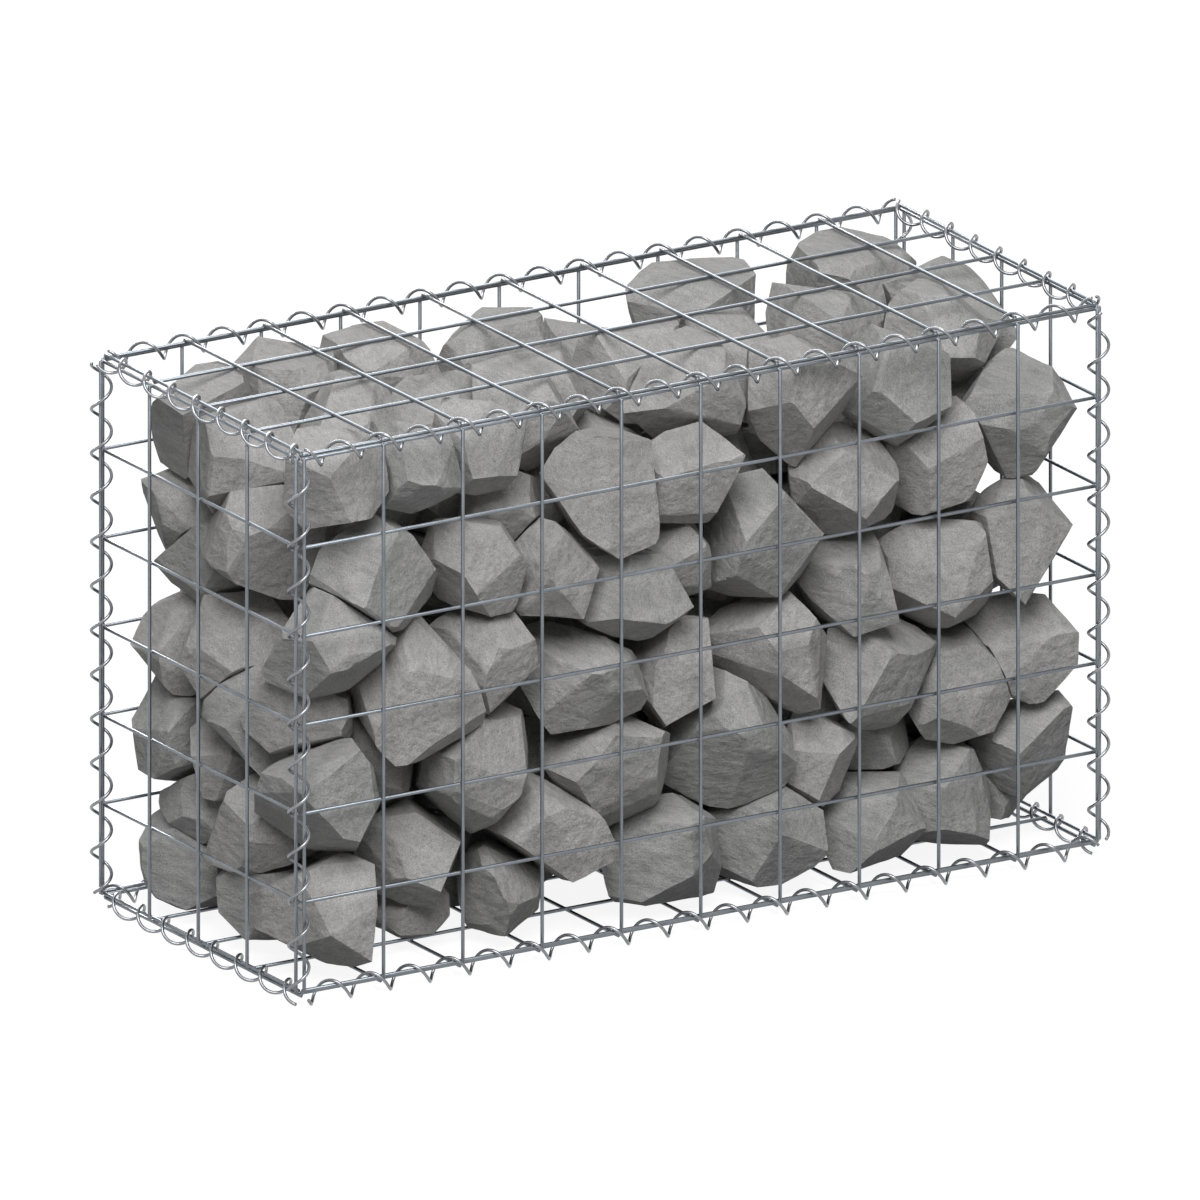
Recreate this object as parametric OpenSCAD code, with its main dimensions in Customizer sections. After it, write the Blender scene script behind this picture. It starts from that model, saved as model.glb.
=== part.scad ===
// Gabion basket: a welded mesh box of six panels, laced along its twelve
// edges with spiral wires and filled with broken stone.
// Millimetres, +X along the wall, +Y to the back, +Z up. The origin lies
// under the middle of the basket, level with the lowest spiral.

/* [Basket] */
// Length of the mesh along the wall
basket_long = 1000; // [600:50:2000]
// Depth of the mesh from front to back
basket_deep = 400; // [300:50:600]
// Height of the mesh
basket_high = 600; // [450:50:900]
// Size of a mesh cell, fitted to each side in whole cells
mesh_size = 100; // [75:5:125]

/* [Mesh wire] */
// Diameter of a panel wire
wire_d = 4; // [3:0.5:5]
// Depth to which crossing wires sink into each other where they are welded
weld_sink = 0.8; // [0.5:0.1:1.2]
// Length of a wire past the axis of the last wire that it crosses
wire_stub = 1; // [0.5:0.5:3]
// Clearance between the wires of panels that meet at an edge
panel_clear = 0.3; // [0.2:0.1:1]

/* [Spirals] */
// Diameter of the wire of a spiral
spiral_wire_d = 3.6; // [2.4:0.2:4.4]
// Turns of a spiral in one mesh cell
turns_per_cell = 2; // [1:1:3]
// Play between a spiral and the two edge wires that it laces
lace_play = 2.5; // [2:0.1:5]
// Gap between a spiral and the wire that it hangs on
hang_gap = 0.3; // [0.2:0.1:0.6]
// Distance of a spiral's ends from the corners of the mesh
spiral_trim = 2; // [2:0.5:20]

/* [Stones] */
// Size of a stone, as a share of the room that it has
stone_fill = 1.24; // [1.1:0.02:1.4]
// Gap between stones that bear on each other, and under the lowest ones
stone_gap = 0.3; // [0.2:0.1:1]
// Clearance between the stones and the spirals
stone_clear = 0.5; // [0.3:0.1:5]
// Broken faces of a stone, apart from those that bear on its neighbours
broken_faces = 10; // [7:1:14]
// Number that sets the shapes of the stones
stone_shapes = 41; // [1:1:99]

/* [Hidden] */

mesh_colour = [0.48, 0.51, 0.54];
spiral_colour = [0.68, 0.70, 0.72];
stone_colour = [0.56, 0.56, 0.54];

// Whole mesh cells on each side, and their true size there
cells_long = round(basket_long / mesh_size);
cells_deep = round(basket_deep / mesh_size);
cells_high = round(basket_high / mesh_size);
cell_long = basket_long / cells_long;
cell_deep = basket_deep / cells_deep;
cell_high = basket_high / cells_high;

wire_r = wire_d / 2;
wire_sides = 8;
weld_step = wire_d - weld_sink;
// Distance of a panel's outer wires beyond the mesh of the panel next to it
edge_step = weld_step + wire_r + wire_stub + panel_clear;
// The same for its inner wires
inner_step = edge_step - weld_step;

// Spirals are swept with a few sides and rings a turn
spiral_r = spiral_wire_d / 2;
spiral_sides = 5;
turn_rings = 8;
coil_r = edge_step / sqrt(2) + wire_r + lace_play + spiral_r;
coil_reach = coil_r + spiral_r * cos(180 / spiral_sides);
// Distance from a coil's axis to the wire that it hangs on
hang = coil_r * cos(180 / turn_rings) - spiral_r - wire_r - hang_gap;
// A level coil lies midway between two edge wires, below the higher one
coil_side = inner_step / 2;
coil_drop = sqrt(hang * hang - coil_side * coil_side);
// An upright coil lies on the diagonal between two edge wires
coil_diagonal = hang / sqrt(2);
upright_x = basket_long / 2 + coil_diagonal;
upright_y = basket_deep / 2 + edge_step - coil_diagonal;

// Height of the lowest mesh wires' axes above the ground
lift = coil_drop + coil_reach;
top_coil_z = lift + basket_high + edge_step - coil_drop;
bottom_coil_z = lift - coil_drop;

// Room for the stones inside the spirals, above the base and under the lid
room_x = basket_long / 2 + coil_side - coil_reach - stone_clear;
room_y = basket_deep / 2 + coil_side - coil_reach - stone_clear;
room_floor = lift - inner_step + wire_r + stone_gap;
room_top = lift + basket_high + inner_step - wire_r - stone_gap;

// Stones lie in six courses and three rows. Their places are counted in
// columns along the wall, ranks from front to back, and courses. The
// pattern is ten columns long and repeats in a longer basket.
courses = 6;
ranks = 4;
pattern_columns = 10;
runs = max(1, round(cells_long / pattern_columns));
columns = runs * pattern_columns;
column = basket_long / columns;
rank = basket_deep / ranks;
course = basket_high / courses;

// Ranks from the mesh to the middle of a stone in the front or back row
face_depth = 0.75;
// Columns at the right end that the turned back row leaves to the left end's stones
corner_room = 1.3;
// Columns from an end to the first stone of the core, and about from stone to stone
core_first = 1.85;
core_step = 1.05;
core_columns = round((columns - 2 * core_first) / core_step);
// How far the stones of the core are shaken out of line
core_shake = 0.12;
// Radius of a plain stone, and how many radii off its corners may lie
stone_r = stone_fill / 2;
corner_reach = 1.6;
stone_reach = corner_reach * stone_r;
reach_mm = stone_reach * max(column, rank, course);
// How far bearing faces tilt, and how broken faces vary in tilt and distance
bearing_tilt = 0.16;
broken_tilt = 0.34;
broken_near = 0.76;
broken_far = 1.06;
golden_turn = 137.5;

// [columns along, courses up, ranks behind the front row, size]
front_pattern = [
    [
        [0.83, 0.56, 0, 1.05], [2.0, 0.92, 0.35, 0.9], [2.15, 0.3, 0.6, 0.8], [3.06, 0.43, 0.1, 0.95],
        [5.02, 0.49, 0, 1.02], [6.27, 0.43, 0, 0.96], [7.57, 0.43, 0, 0.92], [8.52, 0.55, 0, 0.98],
        [9.3, 0.5, 0.5, 0.9]
    ],
    [
        [0.79, 0.88, 0, 1.08], [1.7, 0.95, 0.6, 0.9], [2.68, 0.85, 0, 1.08], [3.39, 0.03, 0, 1.05],
        [4.32, 0.58, 0, 1.05], [5.77, 0.63, 0, 1.2], [6.94, 0.25, 0, 0.78], [7.05, 0.68, 0.6, 0.8],
        [7.85, 0.3, 0.4, 0.8], [8.71, 0.76, 0, 1], [9.5, 0.1, 0, 0.97]
    ],
    [
        [1.8, 0.85, 0, 1.12], [0.82, 0.7, 0.45, 0.85], [3.94, 0.62, 0, 1.08], [5.14, 0.5, 0, 0.88],
        [6.35, 0.62, 0, 0.98], [7.65, 0.22, 0, 1.05], [9.5, 0.05, 0, 1.05]
    ],
    [
        [0.8, 0.6, 0, 1], [2.72, 0.13, 0, 0.9], [3.56, 0.94, 0, 0.9], [4.52, 0.53, 0, 0.92],
        [5.25, 0.7, 0.25, 0.85], [6.05, 0.86, 0, 1.1], [7.33, 0.16, 0, 0.85], [8.39, 0.11, 0, 0.98],
        [9.5, 0.36, 0, 1]
    ],
    [
        [1.33, 0.22, 0, 1], [2.63, 0.25, 0, 0.87], [3.3, 0.54, 0.6, 0.85], [4.1, 0.81, 0, 1],
        [5.25, 0.78, 0, 0.85], [7.26, 0.32, 0, 1.03], [8.52, 0.34, 0, 1.05], [9.5, 0.7, 0, 1.05]
    ],
    [
        [0.83, 0.43, 0, 1], [1.9, 0.32, 0, 0.92], [2.72, 0.42, 0.15, 0.78], [3.7, 0.36, 0.65, 0.9],
        [5.8, 0.45, 0.5, 1], [6.66, 0.37, 0.05, 1], [7.96, 0.26, 0, 0.95], [8.9, 0.42, 0.7, 1]
    ]
];
// The left end: [columns along, courses up, ranks deep, size]
left_core_pattern = [
    [[0.85, 0.42, 1.95, 0.95]],
    [[0.75, 0.15, 1.9, 1], [0.85, 0.85, 2.6, 0.85]],
    [[0.8, 0.42, 1.9, 1]],
    [[0.8, 0.1, 2.45, 1]],
    [[0.8, 0.42, 1.95, 1.05]],
    [[0.8, 0.17, 2.5, 1.05]]
];
left_back_pattern = [
    [[0.8, 0.42, 3.3, 1]],
    [[0.85, 0.15, 3.05, 0.9], [0.75, 0.8, 3.4, 1.08]],
    [[0.75, 0.92, 3.4, 1]],
    [[0.85, 0.9, 3.1, 0.95]],
    [[0.85, 0.3, 3.45, 1]],
    [[0.8, 0.42, 3.3, 1]]
];
// The top course: [columns along, courses up, size]
core_top_pattern = [
    [1.9, 0.3, 1], [3, 0.2, 1], [4.2, 0.3, 1], [5.4, 0.45, 0.95],
    [6.7, 0.25, 1], [7.9, 0.45, 1], [9.4, 0.4, 1]
];
back_top_pattern = [
    [1.75, 0.55, 1.05], [2.95, 0.58, 1], [4.45, 0.5, 1], [6.95, 0.6, 1.08], [8.95, 0.6, 1.1]
];
// Ranks from the front to the core's stones in the top course
core_top_depth = 2.1;

// A stone is [columns along, ranks deep, courses up, size, key], where the key sets its shape.
// Keys are kept apart by row, and the shapes' number shifts them all.
stone_rows = 3;
row_keys = 100;
shape_keys = 10000;
function stone_key(c, row, i) = shape_keys * stone_shapes + row_keys * (stone_rows * c + row) + i;
function turned(s, key) = [columns - s[0], ranks - s[1], s[2], s[3], key];
function spot(s) = [s[0], s[1], s[2]];

function front_row(c) =
    let (row = front_pattern[c - 1])
    [for (k = [0:runs - 1]) for (i = [0:len(row) - 1])
        [
            row[i][0] + k * pattern_columns, face_depth + row[i][2], c - 1 + row[i][1],
            row[i][3], stone_key(c, 0, i + k * len(row))
        ]];

// Stones at the left end, from a row of its patterns
function left_stones(row, c, key) =
    [for (i = [0:len(row) - 1]) [row[i][0], row[i][2], c - 1 + row[i][1], row[i][3], key + i]];

// Stones of the top course, from a row of its patterns
function top_stones(row, depth, key) =
    [for (k = [0:runs - 1]) for (i = [0:len(row) - 1])
        [
            row[i][0] + k * pattern_columns, depth, courses - 1 + row[i][1],
            row[i][2], key + i + k * len(row)
        ]];

// The hidden middle of a course, in line and then shaken
function core_line(c, key) =
    let (step = (columns - 2 * core_first) / core_columns)
    [for (i = [0:core_columns])
        let (shake = rands(-core_shake, core_shake, 3, key + i))
        [core_first + i * step + shake[0], ranks / 2 + shake[1], c - 1 / 2 + shake[2], 1, key + i]];

function core_row(c) =
    let (left = left_stones(left_core_pattern[c - 1], c, stone_key(c, 1, 0)))
    c == courses
        ? concat(left, top_stones(core_top_pattern, core_top_depth, stone_key(c, 1, len(left))))
        : concat(
            left,
            [for (s = left) turned(s, s[4] + len(left))],
            core_line(c, stone_key(c, 1, 2 * len(left))));

function back_row(c) =
    let (
        left = left_stones(left_back_pattern[c - 1], c, stone_key(c, 2, 0)),
        key = stone_key(c, 2, len(left)),
        front = front_row(c)
    )
    c == courses
        ? concat(left, top_stones(back_top_pattern, ranks - face_depth, key))
        : concat(left, [for (i = [0:len(front) - 1])
            if (front[i][0] < columns - corner_room) turned(front[i], key + i)]);

all_stones = [for (c = [1:courses]) each concat(front_row(c), core_row(c), back_row(c))];

function unit(v) = v / norm(v);
// A point of the pattern in the basket, and a direction of the pattern there
function place(p) =
    [p[0] * column - basket_long / 2, p[1] * rank - basket_deep / 2, lift + p[2] * course];
function outward(n) = unit([n[0] / column, n[1] / rank, n[2] / course]);

// Face between two stones that bear on each other: a point on it and its outward normal
function bearing_face(s, t) =
    let (
        step = spot(t) - spot(s),
        share = s[3] / (s[3] + t[3]),
        tilt = rands(-bearing_tilt, bearing_tilt, 3, s[4] + t[4]),
        n = outward(unit(step) + (s[4] < t[4] ? tilt : -tilt))
    )
    [place(spot(s) + step * share) - n * stone_gap / 2, n];

// Broken faces all round a stone, spread evenly and then shaken
function broken(s) =
    let (
        r = stone_r * s[3],
        spin = rands(0, 360, 1, s[4])[0],
        shake = rands(-broken_tilt, broken_tilt, 3 * broken_faces, s[4] + 1),
        out = rands(broken_near, broken_far, broken_faces, s[4] + 2)
    )
    [for (i = [0:broken_faces - 1])
        let (
            up = 1 - (2 * i + 1) / broken_faces,
            a = spin + i * golden_turn,
            level = sqrt(1 - up * up),
            even = [level * cos(a), level * sin(a), up],
            n = unit(even + [shake[3 * i], shake[3 * i + 1], shake[3 * i + 2]])
        )
        [place(spot(s) + n * r * out[i]), outward(n)]];

function wall_faces(p) = [
    [[room_x, p[1], p[2]], [1, 0, 0]],
    [[-room_x, p[1], p[2]], [-1, 0, 0]],
    [[p[0], room_y, p[2]], [0, 1, 0]],
    [[p[0], -room_y, p[2]], [0, -1, 0]],
    [[p[0], p[1], room_floor], [0, 0, -1]],
    [[p[0], p[1], room_top], [0, 0, 1]]
];

function stone_faces(s) =
    let (
        p = place(s),
        near = [for (t = all_stones) if (t[4] != s[4] && norm(spot(t) - spot(s)) < 2 * stone_reach) t],
        faces = concat([for (t = near) bearing_face(s, t)], wall_faces(p))
    )
    concat(broken(s), [for (f = faces) if ((f[0] - p) * f[1] < reach_mm) f]);

// Everything behind one face
module behind(face) {
    n = face[1];
    span = 4 * reach_mm;
    translate(face[0])
        rotate([0, acos(n[2]), atan2(n[1], n[0])])
            translate([-span / 2, -span / 2, -span])
                cube(span);
}

module stones(row) {
    color(stone_colour)
        for (s = row)
            intersection_for (f = stone_faces(s))
                behind(f);
}

module front_stones(c) {
    stones(front_row(c));
}

module core_stones(c) {
    stones(core_row(c));
}

module back_stones(c) {
    stones(back_row(c));
}

module bar(length) {
    rotate([0, 0, 180 / wire_sides])
        cylinder(h = length, r = wire_r, center = true, $fn = wire_sides);
}

// A welded panel with its inner wires along X at z = 0 and its outer wires along Y
module panel(size_x, cells_x, size_y, cells_y) {
    color(mesh_colour)
        union() {
            for (i = [0:cells_x])
                translate([(i / cells_x - 1 / 2) * size_x, 0, weld_step])
                    rotate([90, 0, 0])
                        bar(size_y + 2 * wire_stub);
            for (j = [0:cells_y])
                translate([0, (j / cells_y - 1 / 2) * size_y, 0])
                    rotate([0, 90, 0])
                        bar(size_x + 2 * wire_stub);
        }
}

module front_panel() {
    translate([0, -basket_deep / 2 - inner_step, lift + basket_high / 2])
        rotate([90, 0, 0])
            panel(basket_long, cells_long, basket_high, cells_high);
}

module back_panel() {
    rotate([0, 0, 180])
        front_panel();
}

module left_end_panel() {
    translate([-basket_long / 2 - inner_step, 0, lift + basket_high / 2])
        rotate([90, 0, -90])
            panel(basket_deep, cells_deep, basket_high, cells_high);
}

module right_end_panel() {
    rotate([0, 0, 180])
        left_end_panel();
}

module base_panel() {
    translate([0, 0, lift - inner_step])
        rotate([180, 0, 0])
            panel(basket_long, cells_long, basket_deep, cells_deep);
}

module lid_panel() {
    translate([0, 0, lift + basket_high + inner_step])
        panel(basket_long, cells_long, basket_deep, cells_deep);
}

// Ring of a right-handed coil round the Z axis at a height z, seen across its wire
function coil_ring(z, pitch, phase) =
    let (
        a = phase + 360 * z / pitch,
        out = [cos(a), sin(a), 0],
        ahead = unit([-sin(a) * coil_r * 2 * PI, cos(a) * coil_r * 2 * PI, pitch]),
        up = cross(out, ahead)
    )
    [for (k = [0:spiral_sides - 1])
        let (b = 180 + k * 360 / spiral_sides)
        out * (coil_r + spiral_r * cos(b)) + up * spiral_r * sin(b) + [0, 0, z]];

// A spiral along Z that points to the angle phase at each mesh wire
module spiral(length, cell, phase) {
    pitch = cell / turns_per_cell;
    rise = length - 2 * spiral_trim;
    last = ceil(rise * turn_rings / pitch);
    n = spiral_sides;
    points = [for (i = [0:last]) each coil_ring(spiral_trim + i * rise / last, pitch, phase)];
    skin = [for (i = [0:last - 1]) for (k = [0:n - 1])
        let (m = (k + 1) % n)
        each [[i * n + k, i * n + m, i * n + n + m], [i * n + k, i * n + n + m, i * n + n + k]]];
    start = [for (k = [0:n - 1]) n - 1 - k];
    end = [for (k = [0:n - 1]) last * n + k];
    color(spiral_colour)
        polyhedron(points, concat(skin, [start, end]));
}

module long_spiral(y, z, phase) {
    translate([-basket_long / 2, y, z])
        rotate([0, 90, 0])
            spiral(basket_long, cell_long, phase);
}

module short_spiral(x, z, phase) {
    translate([x, -basket_deep / 2, z])
        rotate([-90, 0, 0])
            spiral(basket_deep, cell_deep, phase);
}

module upright_spiral(x, y, phase) {
    translate([x, y, lift])
        spiral(basket_high, cell_high, phase);
}

module front_top_spiral() {
    long_spiral(-basket_deep / 2 - coil_side, top_coil_z, 180);
}

module back_top_spiral() {
    long_spiral(basket_deep / 2 + coil_side, top_coil_z, 180);
}

module front_bottom_spiral() {
    long_spiral(-basket_deep / 2 - coil_side, bottom_coil_z, 270);
}

module back_bottom_spiral() {
    rotate([0, 0, 180])
        front_bottom_spiral();
}

module left_top_spiral() {
    short_spiral(-basket_long / 2 - coil_side, top_coil_z, 180);
}

module right_top_spiral() {
    short_spiral(basket_long / 2 + coil_side, top_coil_z, 270);
}

module left_bottom_spiral() {
    short_spiral(-basket_long / 2 - coil_side, bottom_coil_z, 90);
}

module right_bottom_spiral() {
    rotate([0, 0, 180])
        left_bottom_spiral();
}

module front_left_spiral() {
    upright_spiral(-upright_x, -upright_y, 135);
}

module front_right_spiral() {
    upright_spiral(upright_x, -upright_y, 270);
}

module back_left_spiral() {
    upright_spiral(-upright_x, upright_y, 180);
}

module back_right_spiral() {
    upright_spiral(upright_x, upright_y, 90);
}

front_panel();
back_panel();
left_end_panel();
right_end_panel();
base_panel();
lid_panel();
front_top_spiral();
back_top_spiral();
left_top_spiral();
right_top_spiral();
front_bottom_spiral();
back_bottom_spiral();
left_bottom_spiral();
right_bottom_spiral();
front_left_spiral();
front_right_spiral();
back_left_spiral();
back_right_spiral();
front_stones(1);  // front_stones_1
front_stones(2);  // front_stones_2
front_stones(3);  // front_stones_3
front_stones(4);  // front_stones_4
front_stones(5);  // front_stones_5
front_stones(courses);  // front_stones_6
core_stones(1);  // core_stones_1
core_stones(2);  // core_stones_2
core_stones(3);  // core_stones_3
core_stones(4);  // core_stones_4
core_stones(5);  // core_stones_5
core_stones(courses);  // core_stones_6
back_stones(1);  // back_stones_1
back_stones(2);  // back_stones_2
back_stones(3);  // back_stones_3
back_stones(4);  // back_stones_4
back_stones(5);  // back_stones_5
back_stones(courses);  // back_stones_6
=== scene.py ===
import math
import random

import bmesh
import bpy
from mathutils import Matrix, Vector, noise


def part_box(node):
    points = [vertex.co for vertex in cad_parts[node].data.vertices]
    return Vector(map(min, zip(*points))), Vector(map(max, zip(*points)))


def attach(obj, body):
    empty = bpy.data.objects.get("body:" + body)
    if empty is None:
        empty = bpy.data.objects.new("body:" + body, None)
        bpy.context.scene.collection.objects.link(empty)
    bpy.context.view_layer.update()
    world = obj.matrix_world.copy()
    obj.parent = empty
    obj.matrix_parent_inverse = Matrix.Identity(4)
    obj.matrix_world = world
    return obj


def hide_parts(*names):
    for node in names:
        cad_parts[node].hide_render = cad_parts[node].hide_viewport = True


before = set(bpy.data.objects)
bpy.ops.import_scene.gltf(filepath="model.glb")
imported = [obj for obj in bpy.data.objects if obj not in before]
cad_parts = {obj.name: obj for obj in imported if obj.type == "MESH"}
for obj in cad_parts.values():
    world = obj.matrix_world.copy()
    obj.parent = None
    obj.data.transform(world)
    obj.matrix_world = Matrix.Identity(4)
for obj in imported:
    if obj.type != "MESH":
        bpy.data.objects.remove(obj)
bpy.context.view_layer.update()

# Sizes of the basket in metres and sides of its wires, as they are in the solids
MESH_PITCH = 0.1
WIRE_R = 0.002
SOLID_WIRE_SIDES = 8
WIRE_FLAT = WIRE_R * math.cos(math.pi / SOLID_WIRE_SIDES)
WIRE_STUB = 0.001
SPIRAL_R = 0.0018
SPIRAL_TRIM = 0.002
SPIRAL_PITCH = MESH_PITCH / 2
SOLID_SPIRAL_SIDES = 5
SPIRAL_FLAT = SPIRAL_R * math.cos(math.pi / SOLID_SPIRAL_SIDES)

# Fineness of the wires
WIRE_SIDES = 14
WIRE_END = 0.0004
SPIRAL_SIDES = 12
SPIRAL_RINGS = 28
WELD_SIDES = 12
WELD_HEIGHTS = (-0.0016, -0.0009, 0.0, 0.0009, 0.0016)
WELD_RADII = (0.0014, 0.0023, 0.0026, 0.0023, 0.0014)

# Axis of each spiral, and the angle to which it points at the mesh wires
SPIRALS = {
    "front_top_spiral": ("X", 180),
    "back_top_spiral": ("X", 180),
    "front_bottom_spiral": ("X", 270),
    "back_bottom_spiral": ("X", 90),
    "left_top_spiral": ("Y", 180),
    "right_top_spiral": ("Y", 270),
    "left_bottom_spiral": ("Y", 90),
    "right_bottom_spiral": ("Y", 90),
    "front_left_spiral": ("Z", 135),
    "front_right_spiral": ("Z", 270),
    "back_left_spiral": ("Z", 180),
    "back_right_spiral": ("Z", 90),
}
# How a coil round +Z is laid along each axis
LAY = {
    "X": Matrix.Rotation(math.radians(90), 3, "Y"),
    "Y": Matrix.Rotation(math.radians(-90), 3, "X"),
    "Z": Matrix.Identity(3),
}
# Outward direction, and the directions of the outer and inner wires, of each panel
PANELS = {
    "front_panel": ("-Y", "Z", "X"),
    "back_panel": ("+Y", "Z", "X"),
    "left_end_panel": ("-X", "Z", "Y"),
    "right_end_panel": ("+X", "Z", "Y"),
    "base_panel": ("-Z", "Y", "X"),
    "lid_panel": ("+Z", "Y", "X"),
}

# Rows of stones, with the longest edge in the mesh of a stone and the deepest cut of a chip.
# The photograph doesn't show the back row, so its chips stay small.
STONE_ROWS = {"front": (0.007, 0.025), "core": (0.013, 0.025), "back": (0.0095, 0.007)}
COURSES = 6
# The seed of the random draws goes up by one with each course and by this with each row
ROW_SEED = 100
# Chips that are knocked off a stone: how many, and how deep at the middle of the edge or at the corner.
# They are tilted, so that elsewhere they go deeper.
EDGE_CHIPS = 7
EDGE_CHIP_DEPTH = (0.001, 0.004)
CORNER_CHIPS = 5
CORNER_CHIP_DEPTH = (0.002, 0.007)
CHIP_TILT = 0.3
SHORTEST_CHIPPED = 0.014
# Depth to which sharp edges are worn, and how quickly that changes along them
EDGE_WEAR = 0.0006
EDGE_WEAR_WAVES = 60.0
# Corners of a stone that lie closer than this are merged, and long edges are halved at most so often
SHORTEST_EDGE = 0.002
MOST_HALVINGS = 8
# How near points of the solids count as one, and how near a plane a corner counts as on it
SAME_POINT = 1e-5
ON_PLANE = 1e-6
# Relief of a broken face: waves a metre and depth, and how far it may be shifted from stone to stone
RELIEF = ((26.0, 0.0010), (80.0, 0.0006))
RELIEF_SHIFT = 9
# Edges sharper than the first stay sharp, and faces that differ by less than the second are joined
SHARP_ANGLE = math.radians(17)
FLAT_ANGLE = math.radians(0.5)

# The stone splits along a grain, which lies mainly from front to back and is turned from stone to stone
SPLIT_STRETCH = 0.22
RIPPLE_STRETCH = 0.5
SPLIT_TURN = 0.6
SPLIT_AXIS = (0.25, 0.0, 1.0)
# Patterns of stone and zinc, in waves a metre
STONE_CLOUDS = 38.0
STONE_RIPPLES = 85.0
STONE_MOTTLE = 150.0
STONE_GRAIN = 700.0
ZINC_CLOUDS = 30.0
ZINC_SPANGLE = 300.0
ZINC_DRAWN = 450.0
# Zinc of the panels and of the spirals: dark and light colour, and the range of its roughness
DULL_ZINC = ((0.17, 0.19, 0.21), (0.23, 0.25, 0.275), (0.27, 0.36))
BRIGHT_ZINC = ((0.2, 0.21, 0.225), (0.3, 0.31, 0.325), (0.2, 0.3))
ZINC_METALLIC = 0.85

# Camera: a parallel view from the front left, as in the photograph
IMAGE_PX = 1200
PX_PER_M = 931.2
VIEW_AZIMUTH = -31.6
VIEW_ELEVATION = 18.0
VIEW_DISTANCE = 4.0

# Studio lamps: where the light comes from, how far away and how large the lamp is, and its level.
# The key lights the front and the fill the back. The gleam only shows in reflections, such as the
# bright line on the wires of the lid.
LAMPS = {
    "key": ((-0.4, -0.6, 0.82), 8.0, 4.8, 0.96),
    "fill": ((0.25, 0.93, 0.12), 6.0, 1.6, 0.35),
    "gleam": ((0.3, 0.6, 0.74), 5.0, 5.0, 1.5),
}
REFLECTED_ONLY = ("gleam",)
# Even light from all round. The camera and reflections see plain white there instead.
AMBIENT = 0.18
# Floor: half its side, how far it lies under the basket, its own white and its greys, seen and unseen
FLOOR_HALF = 15.0
FLOOR_DROP = 0.0008
FLOOR_GLOW = 0.9
FLOOR_SEEN = 0.22
FLOOR_GREY = 0.22


def grey(level, warmth=0.0):
    return (level * (1 + warmth), level, level * (1 - warmth))


class Shader:
    """A node material that is built up node by node."""

    def __init__(self, name):
        self.material = bpy.data.materials.new(name)
        self.material.use_nodes = True
        self.tree = self.material.node_tree
        self.bsdf = self.tree.nodes["Principled BSDF"]
        self.place = self.tree.nodes.new("ShaderNodeTexCoord").outputs["Object"]

    def put(self, socket, value):
        if isinstance(value, bpy.types.NodeSocket):
            self.tree.links.new(value, socket)
        else:
            socket.default_value = value

    def add(self, kind, **inputs):
        made = self.tree.nodes.new(kind)
        for name, value in inputs.items():
            self.put(made.inputs[name.replace("_", " ")], value)
        return made

    def set(self, **inputs):
        for name, value in inputs.items():
            self.put(self.bsdf.inputs[name.replace("_", " ")], value)

    def noise(self, scale, detail=4.0, roughness=0.55, place=None):
        made = self.add("ShaderNodeTexNoise", Scale=scale, Detail=detail, Roughness=roughness)
        self.put(made.inputs["Vector"], place or self.place)
        return made.outputs["Fac"]

    def scaled(self, place, scale):
        """Coordinates that change slowly where the scale is small."""
        return self.add("ShaderNodeMapping", Vector=place, Scale=scale).outputs["Vector"]

    def ramp(self, value, *stops):
        made = self.add("ShaderNodeValToRGB", Fac=value)
        elements = made.color_ramp.elements
        while len(elements) < len(stops):
            elements.new(1.0)
        for element, (at, colour) in zip(elements, stops):
            element.position = at
            element.color = (*colour, 1.0)
        return made.outputs["Color"]

    def mix(self, kind, factor, a, b):
        made = self.tree.nodes.new("ShaderNodeMix")
        made.data_type = "RGBA"
        made.blend_type = kind
        self.put(made.inputs[0], factor)
        for index, colour in ((6, a), (7, b)):
            self.put(made.inputs[index], (*colour, 1.0) if isinstance(colour, tuple) else colour)
        return made.outputs[2]

    def attribute(self, name):
        made = self.tree.nodes.new("ShaderNodeAttribute")
        made.attribute_name = name
        return made.outputs["Fac"]

    def span(self, value, low, high, from_low=0.0, from_high=1.0):
        made = self.add("ShaderNodeMapRange", Value=value, From_Min=from_low, From_Max=from_high)
        made.inputs["To Min"].default_value = low
        made.inputs["To Max"].default_value = high
        return made.outputs["Result"]

    def bump(self, height, distance, strength, under=None):
        made = self.add("ShaderNodeBump", Height=height, Distance=distance, Strength=strength)
        if under is not None:
            self.tree.links.new(under, made.inputs["Normal"])
        return made.outputs["Normal"]


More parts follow.
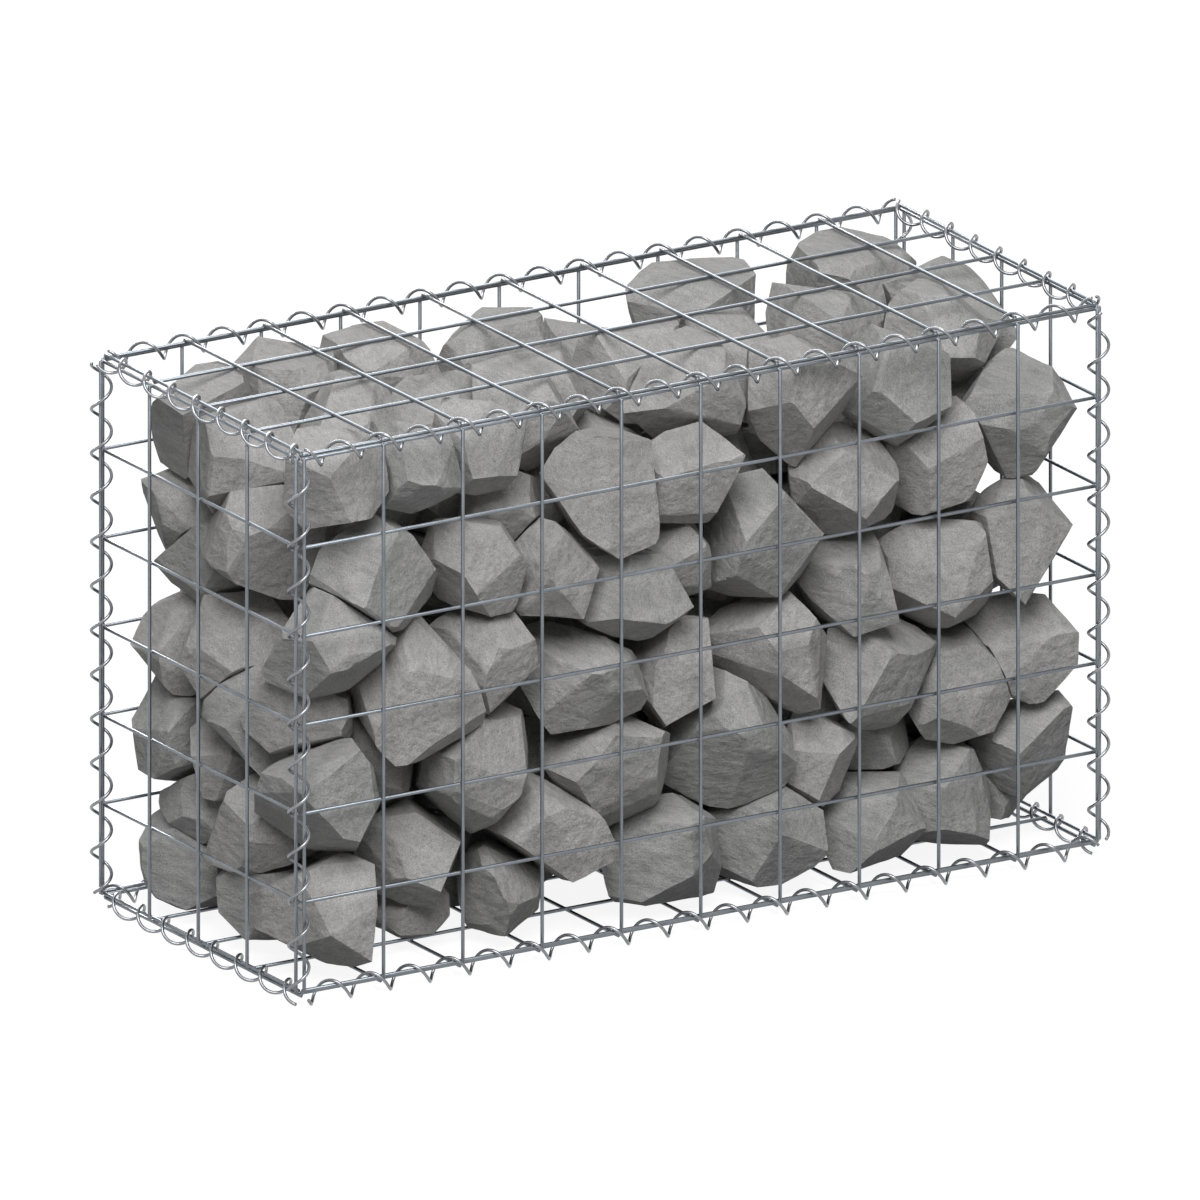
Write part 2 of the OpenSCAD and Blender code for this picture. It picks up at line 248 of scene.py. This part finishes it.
def stone_material():
    s = Shader("broken_stone")
    tint = s.attribute("tint")
    turn = s.span(tint, -SPLIT_TURN, SPLIT_TURN)
    own = s.add("ShaderNodeVectorRotate", Vector=s.place, Axis=SPLIT_AXIS, Angle=turn).outputs["Vector"]
    rippled = s.scaled(own, (1.0, RIPPLE_STRETCH, 1.0))
    split = s.scaled(own, (1.0, SPLIT_STRETCH, 1.0))
    clouds = s.noise(STONE_CLOUDS, detail=5.0, roughness=0.6)
    ripples = s.noise(STONE_RIPPLES, detail=3.0, roughness=0.5, place=rippled)
    mottle = s.noise(STONE_MOTTLE, detail=5.0, roughness=0.65, place=split)
    grain = s.noise(STONE_GRAIN, detail=2.0, roughness=0.6)
    colour = s.ramp(clouds, (0.3, grey(0.37, 0.01)), (0.5, grey(0.405, 0.014)), (0.7, grey(0.435, 0.018)))
    spots = s.ramp(mottle, (0.32, grey(0.74)), (0.5, grey(1.0)), (0.68, grey(1.16)))
    colour = s.mix("MULTIPLY", 0.6, colour, spots)
    colour = s.mix("MULTIPLY", 1.0, colour, s.ramp(grain, (0.32, grey(0.76)), (0.66, grey(1.24))))
    shade = s.ramp(tint, (0.0, grey(0.93, -0.006)), (0.5, grey(0.99)), (1.0, grey(1.05, 0.008)))
    colour = s.mix("MULTIPLY", 1.0, colour, shade)
    colour = s.mix("MIX", s.span(s.attribute("wear"), 0.0, 0.14), colour, grey(0.46, 0.012))
    normal = s.bump(clouds, 0.005, 0.5)
    normal = s.bump(ripples, 0.0035, 0.8, under=normal)
    normal = s.bump(mottle, 0.0017, 0.6, under=normal)
    normal = s.bump(grain, 0.0004, 0.8, under=normal)
    s.set(Base_Color=colour, Roughness=s.span(mottle, 0.85, 0.98), Specular_IOR_Level=0.2, Normal=normal)
    return s.material


def zinc_material(name, dark, light, roughness):
    s = Shader(name)
    cloud = s.noise(ZINC_CLOUDS)
    drawn = s.noise(ZINC_DRAWN, detail=3.0)
    spangle = s.add("ShaderNodeTexVoronoi", Vector=s.place, Scale=ZINC_SPANGLE).outputs["Color"]
    colour = s.ramp(cloud, (0.3, dark), (0.7, light))
    colour = s.mix("MULTIPLY", 0.3, colour, s.ramp(spangle, (0.0, grey(0.75)), (1.0, grey(1.12))))
    colour = s.mix("MULTIPLY", 0.35, colour, s.ramp(drawn, (0.35, grey(0.8)), (0.6, grey(1.06))))
    s.set(
        Base_Color=colour,
        Metallic=ZINC_METALLIC,
        Roughness=s.span(cloud, *roughness, 0.25, 0.75),
        Normal=s.bump(drawn, 0.0002, 0.4),
    )
    return s.material


class Mesh:
    """Vertices and faces of one piece as it grows."""

    def __init__(self):
        self.points = []
        self.faces = []

    def rings(self, rings):
        """Skins a row of rings of equal size, and closes both ends."""
        base = len(self.points)
        n = len(rings[0])
        for ring in rings:
            self.points.extend(ring)
        for i in range(len(rings) - 1):
            a = base + i * n
            for k in range(n):
                m = (k + 1) % n
                self.faces.append((a + k, a + m, a + n + m, a + n + k))
        last = base + (len(rings) - 1) * n
        self.faces.append(tuple(base + n - 1 - k for k in range(n)))
        self.faces.append(tuple(last + k for k in range(n)))


def circle(centre, across, up, radius, sides):
    turn = 2 * math.pi / sides
    spokes = ((math.cos(k * turn), math.sin(k * turn)) for k in range(sides))
    return [centre + (across * c + up * s) * radius for c, s in spokes]


def add_wire(mesh, start, end):
    """A straight round wire with slightly rounded cut ends."""
    ahead = (end - start).normalized()
    across = ahead.orthogonal().normalized()
    up = ahead.cross(across)
    rim = WIRE_R - WIRE_END
    mesh.rings([
        circle(start, across, up, rim, WIRE_SIDES),
        circle(start + ahead * WIRE_END, across, up, WIRE_R, WIRE_SIDES),
        circle(end - ahead * WIRE_END, across, up, WIRE_R, WIRE_SIDES),
        circle(end, across, up, rim, WIRE_SIDES),
    ])


def add_weld(mesh, point, out, along):
    """A low collar of metal that is pressed out round a weld."""
    across = out.cross(along)
    levels = zip(WELD_HEIGHTS, WELD_RADII)
    mesh.rings([circle(point + out * h, along, across, r, WELD_SIDES) for h, r in levels])


def finish_piece(name, mesh, material, node):
    data = bpy.data.meshes.new(name)
    data.from_pydata(mesh.points, [], mesh.faces)
    data.polygons.foreach_set("use_smooth", [True] * len(data.polygons))
    data.materials.append(material)
    piece = bpy.data.objects.new(name, data)
    bpy.context.scene.collection.objects.link(piece)
    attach(piece, "root")
    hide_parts(node)
    return piece


def panel(node, material):
    outward, outer, inner = PANELS[node]
    sign = 1.0 if outward[0] == "+" else -1.0
    normal, outer, inner = ("XYZ".index(axis) for axis in (outward[1], outer, inner))
    low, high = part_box(node)
    near, far = (low, high) if sign > 0 else (high, low)
    inner_plane = near[normal] + sign * WIRE_FLAT
    outer_plane = far[normal] - sign * WIRE_FLAT
    margin = Vector((WIRE_FLAT, WIRE_FLAT, WIRE_FLAT))
    first, last = low + margin, high - margin
    cells = [round((last[a] - first[a]) / MESH_PITCH) for a in range(3)]
    mesh = Mesh()
    for along, across, plane in ((outer, inner, outer_plane), (inner, outer, inner_plane)):
        for i in range(cells[across] + 1):
            start, end = first.copy(), last.copy()
            start[normal] = end[normal] = plane
            start[across] = end[across] = first[across] + i * MESH_PITCH
            start[along] -= WIRE_STUB
            end[along] += WIRE_STUB
            add_wire(mesh, start, end)
    out, along = Vector((0, 0, 0)), Vector((0, 0, 0))
    out[normal], along[outer] = sign, 1.0
    for i in range(cells[inner] + 1):
        for j in range(cells[outer] + 1):
            point = first.copy()
            point[inner] += i * MESH_PITCH
            point[outer] += j * MESH_PITCH
            point[normal] = (inner_plane + outer_plane) / 2
            add_weld(mesh, point, out, along)
    finish_piece(node + "_wires", mesh, material, node)


def spiral(node, material):
    axis, phase = SPIRALS[node]
    low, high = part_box(node)
    along = "XYZ".index(axis)
    across = (along + 1) % 3
    middle = (low + high) / 2
    coil_r = (high[across] - low[across]) / 2 - SPIRAL_FLAT
    slope = 2 * math.pi * coil_r / SPIRAL_PITCH
    mesh_end = MESH_PITCH * round((high[along] - low[along]) / MESH_PITCH) / 2
    half = mesh_end - SPIRAL_TRIM
    steps = round(2 * half / SPIRAL_PITCH * SPIRAL_RINGS)
    rings = []
    for i in range(steps + 1):
        t = -half + 2 * half * i / steps
        a = math.radians(phase) + 2 * math.pi * (t + mesh_end) / SPIRAL_PITCH
        out = Vector((math.cos(a), math.sin(a), 0.0))
        ahead = Vector((-math.sin(a) * slope, math.cos(a) * slope, 1.0)).normalized()
        centre = out * coil_r + Vector((0.0, 0.0, t))
        ring = circle(centre, out, out.cross(ahead), SPIRAL_R, SPIRAL_SIDES)
        rings.append([middle + LAY[axis] @ p for p in ring])
    mesh = Mesh()
    mesh.rings(rings)
    finish_piece(node + "_wire", mesh, material, node)


def islands(whole):
    """The separate stones of a bmesh, as lists of vertices."""
    left = set(whole.verts)
    for start in whole.verts:
        if start not in left:
            continue
        left.discard(start)
        island, todo = [], [start]
        while todo:
            v = todo.pop()
            island.append(v)
            for e in v.link_edges:
                other = e.other_vert(v)
                if other in left:
                    left.discard(other)
                    todo.append(other)
        yield sorted(island, key=lambda v: v.index)


def split_stones(node):
    """The stones of a node, each as a bmesh with flat many-sided faces."""
    whole = bmesh.new()
    whole.from_mesh(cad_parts[node].data)
    bmesh.ops.remove_doubles(whole, verts=whole.verts, dist=SAME_POINT)
    whole.verts.index_update()
    whole.faces.index_update()
    singles = []
    for island in islands(whole):
        stone = bmesh.new()
        copies = {v: stone.verts.new(v.co) for v in island}
        faces = {f for v in island for f in v.link_faces}
        for f in sorted(faces, key=lambda f: f.index):
            stone.faces.new([copies[v] for v in f.verts])
        bmesh.ops.dissolve_limit(stone, angle_limit=FLAT_ANGLE, verts=stone.verts, edges=stone.edges)
        stone.normal_update()
        singles.append(stone)
    whole.free()
    return singles


def cut_away(stone, point, normal):
    """Cuts off what lies beyond a plane, and closes the cut."""
    geom = stone.verts[:] + stone.edges[:] + stone.faces[:]
    made = bmesh.ops.bisect_plane(
        stone, geom=geom, dist=ON_PLANE, plane_co=point, plane_no=normal, clear_outer=True
    )
    rim = [g for g in made["geom_cut"] if isinstance(g, bmesh.types.BMEdge)]
    if len(rim) > 2:
        bmesh.ops.edgeloop_fill(stone, edges=rim)
        bmesh.ops.recalc_face_normals(stone, faces=stone.faces)
    stone.normal_update()


def tilted(normal, draw):
    shake = Vector([draw.uniform(-CHIP_TILT, CHIP_TILT) for _ in range(3)])
    return (normal.normalized() + shake).normalized()


def knock_off(stone, point, normal, deepest):
    """Knocks off what lies beyond a plane through a point, but no more than the deepest chip."""
    reach = max(v.co.dot(normal) for v in stone.verts)
    cut_away(stone, normal * max(point.dot(normal), reach - deepest), normal)


def knock_off_chips(stone, draw, deepest):
    """Knocks flat chips off some edges and corners, as on broken stone."""
    for _ in range(EDGE_CHIPS):
        edge = draw.choice([e for e in stone.edges if e.calc_length() > SHORTEST_CHIPPED])
        normal = tilted(edge.link_faces[0].normal + edge.link_faces[1].normal, draw)
        middle = (edge.verts[0].co + edge.verts[1].co) / 2
        knock_off(stone, middle - normal * draw.uniform(*EDGE_CHIP_DEPTH), normal, deepest)
    for _ in range(CORNER_CHIPS):
        corner = draw.choice(stone.verts[:])
        normal = tilted(corner.normal, draw)
        knock_off(stone, corner.co - normal * draw.uniform(*CORNER_CHIP_DEPTH), normal, deepest)


def close_again(stone):
    """Merges corners that lie close together, and closes the stone as a convex body."""
    bmesh.ops.remove_doubles(stone, verts=stone.verts, dist=SHORTEST_EDGE)
    corners = [v.co.copy() for v in stone.verts]
    stone.clear()
    bmesh.ops.convex_hull(stone, input=[stone.verts.new(p) for p in corners])
    loose = [v for v in stone.verts if not v.link_faces]
    bmesh.ops.delete(stone, geom=loose, context="VERTS")
    bmesh.ops.dissolve_limit(stone, angle_limit=FLAT_ANGLE, verts=stone.verts, edges=stone.edges)
    stone.normal_update()


def cut_triangle(points, corners, middles):
    """The triangles that one triangle falls into when some of its edges are cut in the middle."""
    a, b, c = corners
    ab, bc, ca = middles
    cuts = sum(m is not None for m in middles)
    if cuts == 0:
        return [(a, b, c)]
    if cuts == 3:
        return [(a, ab, ca), (ab, b, bc), (ca, bc, c), (ab, bc, ca)]
    # Turned until the one cut edge comes first, or the one whole edge comes last
    while ab is None or (cuts == 2 and ca is not None):
        a, b, c, ab, bc, ca = b, c, a, bc, ca, ab
    if cuts == 1:
        return [(a, ab, c), (ab, b, c)]
    if (points[a] - points[bc]).length < (points[ab] - points[c]).length:
        return [(ab, b, bc), (a, ab, bc), (a, bc, c)]
    return [(ab, b, bc), (a, ab, c), (ab, bc, c)]


def halve_long_edges(points, faces, longest):
    """Cuts each edge that is too long in the middle. Adds to the points and gives the new triangles."""
    found = {}

    def middle_of(a, b):
        key = (min(a, b), max(a, b))
        if key not in found:
            found[key] = None
            if (points[a] - points[b]).length > longest:
                found[key] = len(points)
                points.append((points[a] + points[b]) / 2)
        return found[key]

    made = []
    for a, b, c in faces:
        middles = (middle_of(a, b), middle_of(b, c), middle_of(c, a))
        made.extend(cut_triangle(points, (a, b, c), middles))
    return made


def cut_fine(stone, longest):
    """Cuts the faces into triangles of about one size."""
    bmesh.ops.poke(stone, faces=[f for f in stone.faces if len(f.verts) > 3])
    stone.verts.index_update()
    points = [v.co.copy() for v in stone.verts]
    faces = [tuple(v.index for v in f.verts) for f in stone.faces]
    for _ in range(MOST_HALVINGS):
        finer = halve_long_edges(points, faces, longest)
        if len(finer) == len(faces):
            break
        faces = finer
    stone.clear()
    corners = [stone.verts.new(p) for p in points]
    for face in faces:
        stone.faces.new([corners[i] for i in face])
    stone.normal_update()


def worn_corners(stone):
    """The vertices that lie on sharp edges."""
    sharp = [e for e in stone.edges if e.calc_face_angle(0.0) > SHARP_ANGLE]
    return {v for e in sharp for v in e.verts}


def press_in(stone, worn, shift):
    """Presses the faces in unevenly. The stone never grows past its solid."""
    moves = []
    for v in stone.verts:
        p = v.co + shift
        depth = sum(size * (0.5 + 0.5 * noise.noise(p * waves)) for waves, size in RELIEF)
        if v in worn:
            depth += EDGE_WEAR * max(0.0, 0.5 + noise.noise(p * EDGE_WEAR_WAVES))
        moves.append(v.normal * -depth)
    for v, move in zip(stone.verts, moves):
        v.co += move


def stones(node, material, longest, deepest, seed):
    draw = random.Random(seed)
    mesh = Mesh()
    tints, wears = [], []
    for stone in split_stones(node):
        tint = draw.random()
        shift = Vector([draw.uniform(-RELIEF_SHIFT, RELIEF_SHIFT) for _ in range(3)])
        knock_off_chips(stone, draw, deepest)
        close_again(stone)
        cut_fine(stone, longest)
        worn = worn_corners(stone)
        press_in(stone, worn, shift)
        base = len(mesh.points)
        stone.verts.index_update()
        mesh.points.extend(v.co.copy() for v in stone.verts)
        mesh.faces.extend(tuple(base + v.index for v in f.verts) for f in stone.faces)
        wears.extend(float(v in worn) for v in stone.verts)
        tints.extend([tint] * len(stone.verts))
        stone.free()
    piece = finish_piece(node + "_rocks", mesh, material, node)
    for name, values in (("tint", tints), ("wear", wears)):
        piece.data.attributes.new(name, "FLOAT", "POINT").data.foreach_set("value", values)
    piece.data.set_sharp_from_angle(angle=SHARP_ANGLE)


def build_object():
    dull = zinc_material("dull_zinc", *DULL_ZINC)
    bright = zinc_material("bright_zinc", *BRIGHT_ZINC)
    rock = stone_material()
    for node in PANELS:
        panel(node, dull)
    for node in SPIRALS:
        spiral(node, bright)
    for r, (row, (longest, deepest)) in enumerate(STONE_ROWS.items()):
        for c in range(COURSES):
            stones(f"{row}_stones_{c + 1}", rock, longest, deepest, seed=ROW_SEED * r + c)


def place_towards(obj, location, target):
    bpy.context.scene.collection.objects.link(obj)
    obj.location = location
    obj.rotation_euler = (target - location).to_track_quat("-Z", "Y").to_euler()


def add_camera(target):
    a, e = math.radians(VIEW_AZIMUTH), math.radians(VIEW_ELEVATION)
    back = Vector((math.sin(a) * math.cos(e), -math.cos(a) * math.cos(e), math.sin(e)))
    data = bpy.data.cameras.new("camera")
    data.type = "ORTHO"
    data.ortho_scale = IMAGE_PX / PX_PER_M
    camera = bpy.data.objects.new("camera", data)
    place_towards(camera, target + back * VIEW_DISTANCE, target)
    bpy.context.scene.camera = camera


def add_lamp(name, target):
    """A square soft light. At level 1 it lights a white face that looks at it just to white."""
    direction, distance, size, level = LAMPS[name]
    data = bpy.data.lights.new(name, "AREA")
    data.shape = "SQUARE"
    data.size = size
    data.energy = level * (math.pi * distance) ** 2
    lamp = bpy.data.objects.new(name, data)
    lamp.visible_camera = False
    lamp.visible_diffuse = name not in REFLECTED_ONLY
    place_towards(lamp, target + Vector(direction).normalized() * distance, target)


def add_node(tree, kind, **values):
    made = tree.nodes.new(kind)
    for name, value in values.items():
        made.inputs[name].default_value = value
    return made


def seen_directly(tree):
    """1 for what the camera sees, also in a mirror or through glass, and 0 for other light."""
    path = tree.nodes.new("ShaderNodeLightPath")
    seen = path.outputs["Is Camera Ray"]
    for name in ("Is Glossy Ray", "Is Transmission Ray"):
        larger = tree.nodes.new("ShaderNodeMath")
        larger.operation = "MAXIMUM"
        tree.links.new(seen, larger.inputs[0])
        tree.links.new(path.outputs[name], larger.inputs[1])
        seen = larger.outputs[0]
    return seen


def choose(tree, lit, shown, output):
    """Lights the scene with one shader and shows another."""
    mix = tree.nodes.new("ShaderNodeMixShader")
    tree.links.new(seen_directly(tree), mix.inputs[0])
    tree.links.new(lit.outputs[0], mix.inputs[1])
    tree.links.new(shown.outputs[0], mix.inputs[2])
    tree.links.new(mix.outputs[0], tree.nodes[output].inputs["Surface"])


def add_world():
    world = bpy.data.worlds.new("studio")
    bpy.context.scene.world = world
    world.use_nodes = True
    tree = world.node_tree
    ambient = tree.nodes["Background"]
    ambient.inputs["Color"].default_value = (1.0, 1.0, 1.0, 1.0)
    ambient.inputs["Strength"].default_value = AMBIENT
    white = add_node(tree, "ShaderNodeBackground", Color=(1.0, 1.0, 1.0, 1.0), Strength=1.0)
    choose(tree, ambient, white, "World Output")


def floor_material():
    """White where it is lit and a little darker in the shadow of the object."""
    material = bpy.data.materials.new("pale_floor")
    material.use_nodes = True
    tree = material.node_tree
    tree.nodes.remove(tree.nodes["Principled BSDF"])
    plain = add_node(tree, "ShaderNodeBsdfDiffuse", Color=(*grey(FLOOR_GREY), 1.0))
    pale = add_node(tree, "ShaderNodeBsdfDiffuse", Color=(*grey(FLOOR_SEEN), 1.0))
    glow = add_node(tree, "ShaderNodeEmission", Color=(1.0, 1.0, 1.0, 1.0), Strength=FLOOR_GLOW)
    both = tree.nodes.new("ShaderNodeAddShader")
    tree.links.new(pale.outputs[0], both.inputs[0])
    tree.links.new(glow.outputs[0], both.inputs[1])
    choose(tree, plain, both, "Material Output")
    return material


def add_floor():
    data = bpy.data.meshes.new("floor")
    s = FLOOR_HALF
    data.from_pydata([(-s, -s, 0), (s, -s, 0), (s, s, 0), (-s, s, 0)], [], [(0, 1, 2, 3)])
    data.materials.append(floor_material())
    floor = bpy.data.objects.new("floor", data)
    floor.location.z = -FLOOR_DROP
    bpy.context.scene.collection.objects.link(floor)


bpy.context.scene.view_settings.view_transform = "Standard"
mesh_low, mesh_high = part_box("front_panel")
middle = Vector((0.0, 0.0, (mesh_low.z + mesh_high.z) / 2))
add_camera(middle)
build_object()
for lamp_name in LAMPS:
    add_lamp(lamp_name, middle)
add_world()
add_floor()
